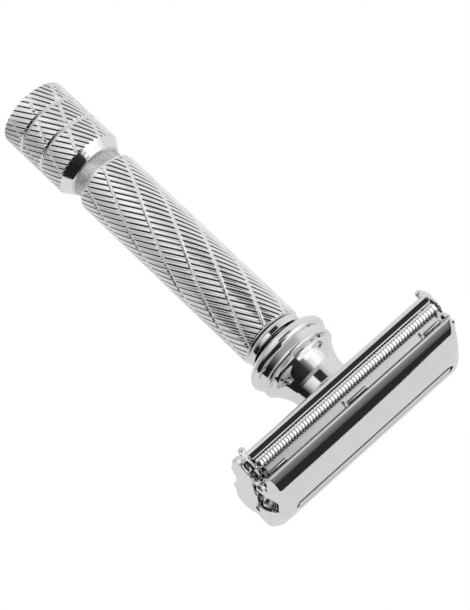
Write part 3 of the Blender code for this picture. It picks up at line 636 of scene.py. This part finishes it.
def make_rail(word, side):
    """Z-section rail with rounded bends, two long slots, three round rests and two notches."""
    rivet_x, rivet_y = RAIL_RIVET
    half, foot, top, sheet = 19.9, TRAY_FLOOR + 0.3, 85.2, 0.75
    web_in, web_out, foot_y, edge_y = 6.3, 7.05, 3.9, 9.7
    skirt_y, skirt_z, kink_z = 10.2, 83.1, 83.85
    tight, wide = 0.2, 0.6
    half_outline = [(foot_y, foot)] + arc((web_out - wide, foot + wide), wide, -90, 0, 6)
    half_outline += arc((web_out + tight, top - sheet - tight), tight, 180, 90, 4)
    half_outline += [(edge_y - 0.4, top - sheet), (skirt_y - 0.5, skirt_z - 0.3)]
    half_outline += [(skirt_y, skirt_z), (skirt_y, kink_z), (edge_y, top)]
    half_outline += arc((web_in + wide, top - wide), wide, 90, 180, 6)
    half_outline += arc((web_in - tight, foot + sheet + tight), tight, 0, -90, 4)
    half_outline += [(foot_y, foot + sheet)]
    rail = extruded("pressed_rail_" + word, [(side * y, z) for y, z in half_outline], -half, half)
    cuts = [rod(word + "_relief", (0, 0, foot - 0.3), (0, 0, 81.8), 5.8, 96)]
    for end in (-1, 1):
        cuts.append(slot_tool(f"{word}_slot_{end}", (end * 9.2, side * 8.15), (10.0, 1.2),
                              top - 2, top + 1))
        cuts.append(rod(f"{word}_hole_{end}", (end * rivet_x, side * rivet_y, foot - 1),
                        (end * rivet_x, side * rivet_y, foot + 2), RAIL_RIVET_HOLE))
    carve(rail, cuts)
    soften(rail, 0.08, 2)
    rests = []
    for i, (x_low, x_high) in enumerate(((-half, -16.1), (-2.6, 1.9), (16.1, half))):
        rest = rod(f"{word}_rest_{i}", (x_low, side * REST_Y, top - REST_R),
                   (x_high - 0.01, side * REST_Y, top - REST_R), REST_R)
        rests.append(soften(rest, 0.15, 3))
    notches = [box(f"{word}_notch_{x}", (-side * x, side * 9.3, top - 1.1),
                   (-side * (x + 0.5), side * 11.0, top + 0.5)) for x in (-15.9, 2.1)]
    carve(rail, rests, "UNION")
    carve(rail, notches)
    place(smooth(rail, flat_faces=True), "handle", "blade_rail_" + word,
          PRESSED)


CROSSBAR_LOW = 81.8
CROSSBAR_HIGH = 84.2
CROSSBAR_HALF = (19.9, 3.0)      # half of its length and width
RIB_HALF = (17.9, 0.6)           # the same of the rib on it, which shows between the doors
RIB_TOP = 89.5
END_RIVET_Z = 82.7
END_HOLE_R = 0.7
HINGE_Y = 7.4                    # the doors turn about pins here
HINGE_Z = 84.9
PIN_HOLE_R = 0.6


def make_crossbar():
    """The beam on the rod, with the rib along it and the boss for the rod's tenon."""
    (bar_x, bar_y), (rib_x, rib_y) = CROSSBAR_HALF, RIB_HALF
    bar = box("milled_crossbar", (-bar_x, -bar_y, CROSSBAR_LOW), (bar_x, bar_y, CROSSBAR_HIGH))
    soften(bar, 0.25, 3)
    rib = box("rib", (-rib_x, -rib_y, CROSSBAR_HIGH - 0.5), (rib_x, rib_y, RIB_TOP))
    soften(rib, 0.1, 2)
    boss = rod("boss", (0, 0, CROSSBAR_LOW + 0.2), (0, 0, 84.9), 2.8, 64)
    carve(bar, [rib, boss], "UNION")
    cuts = [rod("tenon_hole", (0, 0, CROSSBAR_LOW - 1), (0, 0, 84.4), 1.4)]
    for end in (-1, 1):
        cuts.append(rod(f"end_hole_{end}", (end * 16.2, 0, END_RIVET_Z),
                        (end * 21, 0, END_RIVET_Z), END_HOLE_R))
    carve(bar, cuts)
    place(smooth(bar, flat_faces=True), "carriage", "crossbar", PRESSED)


def bracket_outline():
    """The hinge bracket, round about both pins."""
    half = [(3.0, CROSSBAR_LOW), (3.6, 82.5), (6.2, 83.9)]
    half += arc((HINGE_Y, HINGE_Z), 0.95, -50, 90, 14)
    half += [(3.2, 85.85), (2.4, 86.7)]
    return mirrored(half)


def cap_outline():
    """The end plate, scalloped along its lower edge."""
    half = [(0, 78.4)]
    half += arc((3.9, 80.6), 3.1, -135, -60, 12)
    half += arc((7.2, 80.3), (2.3, 2.4), -75, 5, 14)
    half += [(9.1, 81.2), (8.7, 82.0), (7.8, 82.7), (2.4, 83.1), (1.8, 83.8)]
    return mirrored(half)


def make_end(tag, end):
    """Bracket and scalloped cap at one end of the crossbar."""
    x_low, x_high = sorted((end * 20.2, end * 20.9))
    bracket = extruded("pressed_bracket_" + tag, bracket_outline(), x_low, x_high)
    blocks = [soften(box(f"block_{tag}_{side}", (end * 20.3, side * 2.4, 83.9),
                         (end * 21.5, side * 5.4, 85.6)), 0.15, 2) for side in (-1, 1)]
    soften(bracket, 0.1, 2)
    carve(bracket, blocks, "UNION")
    holes = [rod(f"pin_hole_{tag}_{side}", (end * 20, side * HINGE_Y, HINGE_Z),
                 (end * 21.2, side * HINGE_Y, HINGE_Z), PIN_HOLE_R) for side in (-1, 1)]
    rivet = (end * 20, 0, END_RIVET_Z), (end * 21.9, 0, END_RIVET_Z)
    holes.append(rod("rivet_hole_" + tag, *rivet, END_HOLE_R))
    carve(bracket, holes)
    place(smooth(bracket, flat_faces=True), "carriage", "hinge_bracket_" + tag,
          PRESSED)

    x_low, x_high = sorted((end * 21.2, end * 22.5))
    cap = soften(extruded("scalloped_cap_" + tag, cap_outline(), x_low, x_high), 0.18, 3)
    carve(cap, [rod("cap_hole_" + tag, *rivet, END_HOLE_R)])
    place(smooth(cap, flat_faces=True), "carriage", "end_cap_" + tag, CHROME)


# ---------------------------------------------------------------- doors

DOOR_HALF = 22.6         # half of the length along the crest
DOOR_EDGE_HALF = 21.7    # and along the cutting edge
CREST_FLAT = 18.6        # the ends curl down beyond this at the crest
EDGE_FLAT = 20.4         # and beyond this at the edge
DOOR_EDGE_Y = 10.9
DOOR_CREST = 89.5
CREST_R = 14.5
CREST_Y = 4.5            # the crest's arc ends here
FLANK_Y = 7.2            # the straight flank ends here and curls down to the edge
EDGE_SLOPE = radians(42)
FLAT_SHARE = 0.25        # share of u that covers the flat middle
SHEET = 0.6
END_CORNER_Y = 7.0       # the ends' lower corners are cut back from here outwards
END_CORNER = 2.4         # over this width
END_LOW = (84.2, 85.6)   # the ends' lowest point inside and outside of that
TIP_STEP = 0.02
NORMAL_STEP = 0.002
SEAM_SLOT = 1.15         # half the width of the slot between the doors
SEAM_CLOSED = 0.01       # and of the joint beyond the slot's ends
SEAM_SLOT_HALF = 18.6
SEAM_ROUND = 0.28


def seam_share(u):
    """1 along the slot, 0 where the doors meet, with rounded ends."""
    x = abs(u) / FLAT_SHARE * CREST_FLAT
    over = min(max((x - SEAM_SLOT_HALF + SEAM_SLOT) / SEAM_SLOT, 0.0), 1.0)
    return sqrt(1 - over * over)


def seam_half(u):
    """Distance from the middle to the sheet's seam edge."""
    return SEAM_CLOSED + (SEAM_SLOT - SEAM_CLOSED) * seam_share(u)


def door_top(y):
    """Height of the outer surface at distance y from the seam."""
    slope = asin(CREST_Y / CREST_R)
    if y <= CREST_Y:
        return DOOR_CREST - CREST_R + sqrt(CREST_R ** 2 - y ** 2)
    height = door_top(CREST_Y) - tan(slope) * (min(y, FLANK_Y) - CREST_Y)
    if y > FLANK_Y:
        curl = (DOOR_EDGE_Y - FLANK_Y) / (sin(EDGE_SLOPE) - sin(slope))
        turn = asin(sin(slope) + (y - FLANK_Y) / curl)
        height -= curl * (cos(slope) - cos(turn))
    return height


def eased(start, end, t):
    """From start to end with a smooth rise, as t goes from 0 to 1."""
    t = min(max(t, 0.0), 1.0)
    return start + (end - start) * t * t * (3 - 2 * t)


def door_point(u, y):
    """Outer surface point; u runs from -1 to 1 along X, y is the distance from the seam."""
    flat_half = eased(CREST_FLAT, EDGE_FLAT, y / DOOR_EDGE_Y)
    outward = (y - END_CORNER_Y) / END_CORNER
    reach = eased(DOOR_HALF, DOOR_EDGE_HALF, outward) - flat_half
    low = eased(*END_LOW, outward)
    if abs(u) <= FLAT_SHARE:
        return Vector((u / FLAT_SHARE * flat_half, y, door_top(y)))
    turn = (abs(u) - FLAT_SHARE) / (1 - FLAT_SHARE) * pi / 2
    x = flat_half + reach * sin(turn)
    return Vector((x if u > 0 else -x, y, low + (door_top(y) - low) * cos(turn)))


def door_normal(u, y):
    """The outer surface's direction, outward."""
    step = NORMAL_STEP
    along = door_point(min(u + step, 1), y) - door_point(max(u - step, -1), y)
    across = door_point(u, min(y + step, DOOR_EDGE_Y)) - door_point(u, max(y - step, 0))
    return along.cross(across).normalized()


def door_ring(u):
    """One closed section of the sheet: outer face, rounded edge, inner face, seam edge."""
    seam, last = seam_half(u), DOOR_EDGE_Y - SHEET / 2
    rounding = max(SEAM_ROUND * seam_share(u), 0.02)
    ys = [seam + rounding + (last - seam - rounding) * i / 34 for i in range(35)]
    ring = []
    for k in range(6):
        turn = pi / 2 * k / 6
        point = door_point(u, seam + rounding * (1 - cos(turn)))
        ring.append(point - Vector((0, 0, rounding * (1 - sin(turn)))))
    ring += [door_point(u, y) for y in ys[:-1]]
    tip = door_point(u, last)
    normal = door_normal(u, last)
    outward = (tip - door_point(u, last - TIP_STEP)).normalized()
    middle = tip - normal * SHEET / 2
    for k in range(9):
        turn = pi * k / 8
        ring.append(middle + normal * SHEET / 2 * cos(turn) + outward * SHEET / 2 * sin(turn))
    ring += [door_point(u, y) - door_normal(u, y) * SHEET for y in reversed(ys[:-1])]
    inner = door_point(u, seam) - door_normal(u, seam) * SHEET
    ring.append(Vector((inner.x, seam, inner.z)))
    return ring


def make_door(word, side):
    """Half of the cap: an arched sheet with curled ends, one with an arched opening."""
    slot_ends = [SEAM_SLOT_HALF - SEAM_SLOT * (1 - sin(pi / 2 * k / 6)) for k in range(7)]
    flats = [1.5 * k for k in range(12)] + slot_ends
    places = [x / CREST_FLAT * FLAT_SHARE for x in flats]
    places += [FLAT_SHARE + (1 - FLAT_SHARE) * k / 22 for k in range(1, 23)]
    columns = [-u for u in reversed(places[1:])] + places
    rings = [door_ring(u) for u in columns]
    count = len(rings[0])
    points = [p for ring in rings for p in ring]
    faces = []
    for j in range(len(rings) - 1):
        for i in range(count):
            a, b = j * count + i, j * count + (i + 1) % count
            faces.append((a, b, b + count, a + count))
    faces.append(tuple(range(count)))
    last = (len(rings) - 1) * count
    faces.append(tuple(range(last, last + count)))
    door = tidy_mesh(mesh_piece("cap_door_" + word, points, faces))
    if side < 0:
        door.data.transform(Matrix.Rotation(pi, 4, "Z"))

    opening = [(-0.5, 83.0), (5.75, 83.0)] + arc((2.95, 84.93), (2.8, 3.1), 0, 90, 16)
    opening += [(-0.5, 88.03)]
    slant = [(-0.5, 83.0), (2.6, 83.0), (0.16, 87.9), (-0.5, 87.9)]
    tools = []
    for name, outline, end in (("_arch", opening, -side), ("_slant", slant, side)):
        x_low, x_high = sorted((end * 20.4, end * 23.5))
        tools.append(extruded(word + name, [(side * y, z) for y, z in outline], x_low, x_high))
    carve(door, tools)
    lugs = [rod(f"{word}_lug_{end}", (end * 21.5, side * HINGE_Y, HINGE_Z),
                (end * 22.25, side * HINGE_Y, HINGE_Z), 1.45, 64) for end in (-1, 1)]
    carve(door, lugs, "UNION")
    carve(door, [rod(f"{word}_pin_{end}", (end * 21.2, side * HINGE_Y, HINGE_Z),
                     (end * 23.0, side * HINGE_Y, HINGE_Z), PIN_HOLE_R) for end in (-1, 1)])
    place(smooth(door), word + "_door", "door_" + word, CHROME)


# ---------------------------------------------------------------- pieces that keep their CAD shape

CORNERS = ("front_left", "front_right", "rear_left", "rear_right")
STEEL_PIECES = ["knob_screw", "wave_washer", "end_rivet_left", "end_rivet_right"]
STEEL_PIECES += ["hinge_pin_" + corner for corner in CORNERS]
STEEL_PIECES += ["rail_rivet_" + corner for corner in CORNERS]
BRASS_PIECES = ["drive_sleeve", "guide_bush", "retaining_bush", "collar_nut", "lift_rod"]


def dress_kept():
    """Give the pieces that keep their CAD shape their metal."""
    for names, look in ((["knob_end_plug"], CHROME), (STEEL_PIECES, STEEL), (BRASS_PIECES, BRASS)):
        for name in names:
            mesh = NODES[name].data
            mesh.materials.clear()
            mesh.materials.append(look)
            smooth(NODES[name], 40)


# ---------------------------------------------------------------- studio

def glow(name, strength):
    """A plain emitter."""
    look = bpy.data.materials.new(name)
    look.use_nodes = True
    nodes = look.node_tree.nodes
    nodes.clear()
    light = nodes.new("ShaderNodeEmission")
    light.inputs["Color"].default_value = (1, 1, 1, 1)
    light.inputs["Strength"].default_value = strength
    out = nodes.new("ShaderNodeOutputMaterial")
    look.node_tree.links.new(light.outputs["Emission"], out.inputs["Surface"])
    return look


def card(name, corners, strength):
    """A studio card that only shows in reflections, corners in metres."""
    mesh = bpy.data.meshes.new(name)
    mesh.from_pydata(corners, [], [tuple(range(len(corners)))])
    return hide_from_camera(name, mesh, strength)


def hide_from_camera(name, mesh, strength):
    """Make an object of a card's mesh that glows, and that only reflections see."""
    obj = link_object(name, mesh)
    mesh.materials.append(glow(name, strength))
    obj.visible_camera = False
    obj.visible_diffuse = False
    obj.visible_transmission = False
    obj.visible_shadow = False
    return obj


def polar_sheet(name, rings, from_deg, to_deg, reach=None):
    """A card round the handle whose glow changes from place to place.

    rings are (place, stops) pairs and stops are (degrees, strength) pairs.  The place is a radius
    on the floor, or with a reach it is the height on a wall that stands at this reach.
    """
    count = round((to_deg - from_deg) / SHEET_STEP_DEG)
    degrees = [from_deg + (to_deg - from_deg) * i / count for i in range(count + 1)]
    corners, levels = [], []
    for spot, stops in rings:
        r, z = (spot, ABOVE_FLOOR) if reach is None else (reach, spot)
        corners += [(r * cos(radians(d)), r * sin(radians(d)), z) for d in degrees]
        levels += np.interp(degrees, *zip(*stops)).tolist()
    faces = [(row + i, row + i + 1, row + i + count + 2, row + i + count + 1)
             for row in range(0, (len(rings) - 1) * (count + 1), count + 1) for i in range(count)]
    mesh = bpy.data.meshes.new(name)
    mesh.from_pydata(corners, [], faces)
    level = mesh.attributes.new("level", "FLOAT", "POINT")
    level.data.foreach_set("value", levels)
    obj = hide_from_camera(name, mesh, 1.0)
    tree = obj.data.materials[0].node_tree
    source = tree.nodes.new("ShaderNodeAttribute")
    source.attribute_name = "level"
    tree.links.new(source.outputs["Fac"], tree.nodes["Emission"].inputs["Strength"])


def overhead(name, outline, strength):
    """A level card above the head, its outline given as shares of its height over the head."""
    corners = [(x * CARD_RISE, y * CARD_RISE, CARD_HEIGHT) for x, y in outline]
    return card(name, corners, strength)


def shade_card(obj, stops):
    """Let an overhead card's glow change along Y; stops are (share, strength) pairs."""
    tree = obj.data.materials[0].node_tree
    nodes, links = tree.nodes, tree.links
    first, last = stops[0][0], stops[-1][0]
    place_node = nodes.new("ShaderNodeTexCoord")
    split = nodes.new("ShaderNodeSeparateXYZ")
    links.new(place_node.outputs["Object"], split.inputs["Vector"])
    share = span(nodes, links, split.outputs["Y"], 0.0, 1.0, first * CARD_RISE, last * CARD_RISE)
    ramp = nodes.new("ShaderNodeValToRGB")
    entries = ramp.color_ramp.elements
    brightest = max(strength for q, strength in stops)
    while len(entries) < len(stops):
        entries.new(0.5)
    for entry, (q, strength) in zip(entries, stops):
        entry.position = (q - first) / (last - first)
        grey = strength / brightest
        entry.color = (grey, grey, grey, 1.0)
    links.new(share, ramp.inputs["Fac"])
    light = nodes["Emission"]
    links.new(ramp.outputs["Color"], light.inputs["Color"])
    light.inputs["Strength"].default_value = brightest


WORLD_GLOW = 0.77
FLOOR_HALF = 3.0
FLOOR_DROP = 0.0001
ABOVE_FLOOR = 0.0005     # the floor's glow lies this far above it
SHEET_STEP_DEG = 3
CARD_HEIGHT = 0.60
CARD_RISE = CARD_HEIGHT - 0.086  # its height over the head
STRIP_GLOW = 0.026
STRIP_OUTLINE = ((-0.8, 0.14), (0.1, 0.14), (0.1, 0.65), (-0.27, 0.65), (-0.31, 0.62),
                 (-0.335, 0.56), (-0.35, 0.45), (-0.37, 0.41), (-0.8, 0.4))
GREY_OUTLINE = ((-0.8, -1.2), (0.1, -1.2), (0.1, 0.14), (-0.8, 0.14))
# The grey card's glow along Y: (share of the rise, strength)
GREY_FALL = ((-1.2, 1.25), (-0.6, 0.8), (-0.27, 0.39), (0.0, 0.19), (0.14, 0.10))


# The floor's glow round the handle: (radius in metres, (degrees, strength) stops)
BY_THE_KNOB = ((-180, 0.8), (-136, 0.74), (-100, 0.77), (-88, 0.86), (-76, 1.0), (-64, 0.84),
               (-52, 0.75), (-40, 0.6), (-28, 0.43), (-4, 0.45), (20, 0.6), (44, 0.7), (180, 0.8))
NEAR = ((-180, 0.85), (-136, 0.84), (-112, 0.76), (-100, 0.82), (-88, 0.98), (-76, 1.1), (-64, 1.0),
        (-52, 0.86), (-40, 0.72), (-28, 0.6), (-16, 0.52), (-4, 0.44), (8, 0.5), (20, 0.57),
        (32, 0.68), (50, 0.78), (180, 0.85))
MIDWAY = ((-180, 0.85), (-150, 0.82), (-136, 0.7), (-112, 0.64), (-88, 0.58), (-76, 0.38),
          (-64, 0.4), (-52, 0.46), (-40, 0.42), (-28, 0.36), (-4, 0.42), (8, 0.54), (20, 0.66),
          (50, 0.72), (180, 0.85))
FAR = ((-180, 0.85), (-138, 0.8), (-120, 0.62), (-115, 0.03), (-82, 0.03), (-79, 1.1), (-72, 1.0),
       (-60, 0.88), (-48, 0.7), (-38, 0.45), (-30, 0.25), (-22, 0.05), (-18, 0.012), (6, 0.012),
       (12, 0.75), (110, 0.75), (180, 0.85))
FLOOR_GLOW = ((0.006, BY_THE_KNOB), (0.042, BY_THE_KNOB), (0.05, NEAR), (0.1, NEAR),
              (0.14, MIDWAY), (0.162, MIDWAY), (0.17, FAR), (2.8, FAR))
# A wall round the front: (height in metres, (degrees, strength) stops)
WALL_REACH = 0.85
SKIRTING = ((-168, 0.85), (-138, 0.88), (-126, 0.75), (-114, 0.5), (-90, 0.43), (-66, 0.38),
            (-54, 0.28), (-42, 0.14), (-30, 0.06), (-18, 0.012), (14, 0.012))
WALL = ((-168, 0.85), (-150, 1.05), (-138, 1.2), (-112, 1.3), (-102, 1.0), (-98, 0.4), (-92, 0.22),
        (-84, 0.12), (-78, 0.03), (-40, 0.015), (14, 0.015))
WALL_FOOT = ((-168, 0.88), (-138, 1.2), (-126, 1.25), (-116, 0.98), (-106, 0.90), (-98, 0.35),
             (-88, 0.15), (-78, 0.04), (-40, 0.015), (14, 0.015))
WALL_TOP = ((-168, 0.9), (-150, 1.1), (-126, 0.85), (-114, 0.7), (-102, 0.45), (-90, 0.12),
            (-78, 0.03), (-40, 0.03), (14, 0.03))
WALL_GLOW = ((0.0, SKIRTING), (0.13, SKIRTING), (0.17, WALL_FOOT), (0.46, WALL_FOOT), (0.54, WALL),
             (1.1, WALL), (3.2, WALL_TOP))


def make_studio():
    """White surroundings, a pale floor and the cards and glows that the chrome reflects."""
    bpy.context.scene.view_settings.view_transform = "Standard"
    world = bpy.data.worlds.new("studio")
    bpy.context.scene.world = world
    world.use_nodes = True
    sky = world.node_tree.nodes["Background"]
    sky.inputs["Color"].default_value = (1, 1, 1, 1)
    sky.inputs["Strength"].default_value = WORLD_GLOW

    mesh = bpy.data.meshes.new("floor")
    corners = [(x * FLOOR_HALF, y * FLOOR_HALF, 0) for x, y in ((-1, -1), (1, -1), (1, 1), (-1, 1))]
    mesh.from_pydata(corners, [], [(0, 1, 2, 3)])
    ground = link_object("floor", mesh)
    ground.location.z = -FLOOR_DROP
    mesh.materials.append(glow("pale_floor", 1.0))

    polar_sheet("floor_glow", FLOOR_GLOW, -180, 180)
    polar_sheet("wall_glow", WALL_GLOW, -168, 14, WALL_REACH)
    overhead("dark_strip_above", STRIP_OUTLINE, STRIP_GLOW)
    shade_card(overhead("grey_card_above", GREY_OUTLINE, 1.0), GREY_FALL)


CAMERA_LENS = 187.513
CAMERA_PLACE = (0.13647, -0.50427, 0.24672)
CAMERA_TURN_DEG = (-61.848, -42.890, 175.109)


def make_camera():
    """The reference view, from above the front with the head low on the right."""
    data = bpy.data.cameras.new("camera")
    data.lens = CAMERA_LENS
    data.sensor_width = 36.0
    data.clip_start = 0.01
    data.clip_end = 20.0
    camera = link_object("camera", data)
    camera.location = CAMERA_PLACE
    camera.rotation_euler = Euler([radians(a) for a in CAMERA_TURN_DEG], "XYZ")
    bpy.context.scene.camera = camera


# ---------------------------------------------------------------- the scene

make_camera()
make_studio()
make_barrel()
make_knob()
make_turned()
make_trough()
make_crossbar()
for word, side in (("front", -1), ("rear", 1)):
    make_safety_bar(word, side)
    make_rail(word, side)
    make_door(word, side)
for tag, end in (("left", -1), ("right", 1)):
    make_end(tag, end)
dress_kept()
